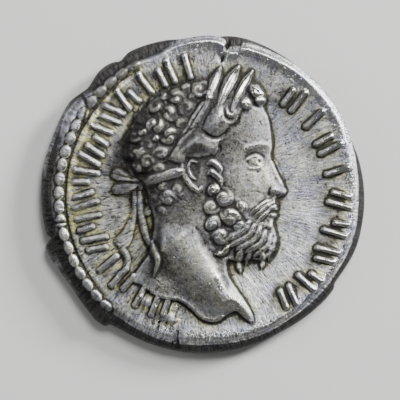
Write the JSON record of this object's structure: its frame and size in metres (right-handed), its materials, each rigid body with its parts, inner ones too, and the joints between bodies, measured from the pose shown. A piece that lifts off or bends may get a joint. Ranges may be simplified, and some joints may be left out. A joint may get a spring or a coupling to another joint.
{
  "type": "ancient silver coin",
  "caption": "Struck silver coin with an uneven worn edge, a laurelled bust in relief on the front and a wreath on the back.",
  "frame": {"origin": "centre of the coin's outline in plan, at the flat ring of the back face that it rests on", "axes": "+Z out of the portrait face, +Y towards the top of the head, +X the way the portrait looks"},
  "size_m": [0.0184, 0.018, 0.0021],
  "materials": {
    "toned silver": "worn silver metal with dark toning in the recesses"
  },
  "bodies": {
    "root": {"coin": "toned silver"}
  },
  "joints": []
}
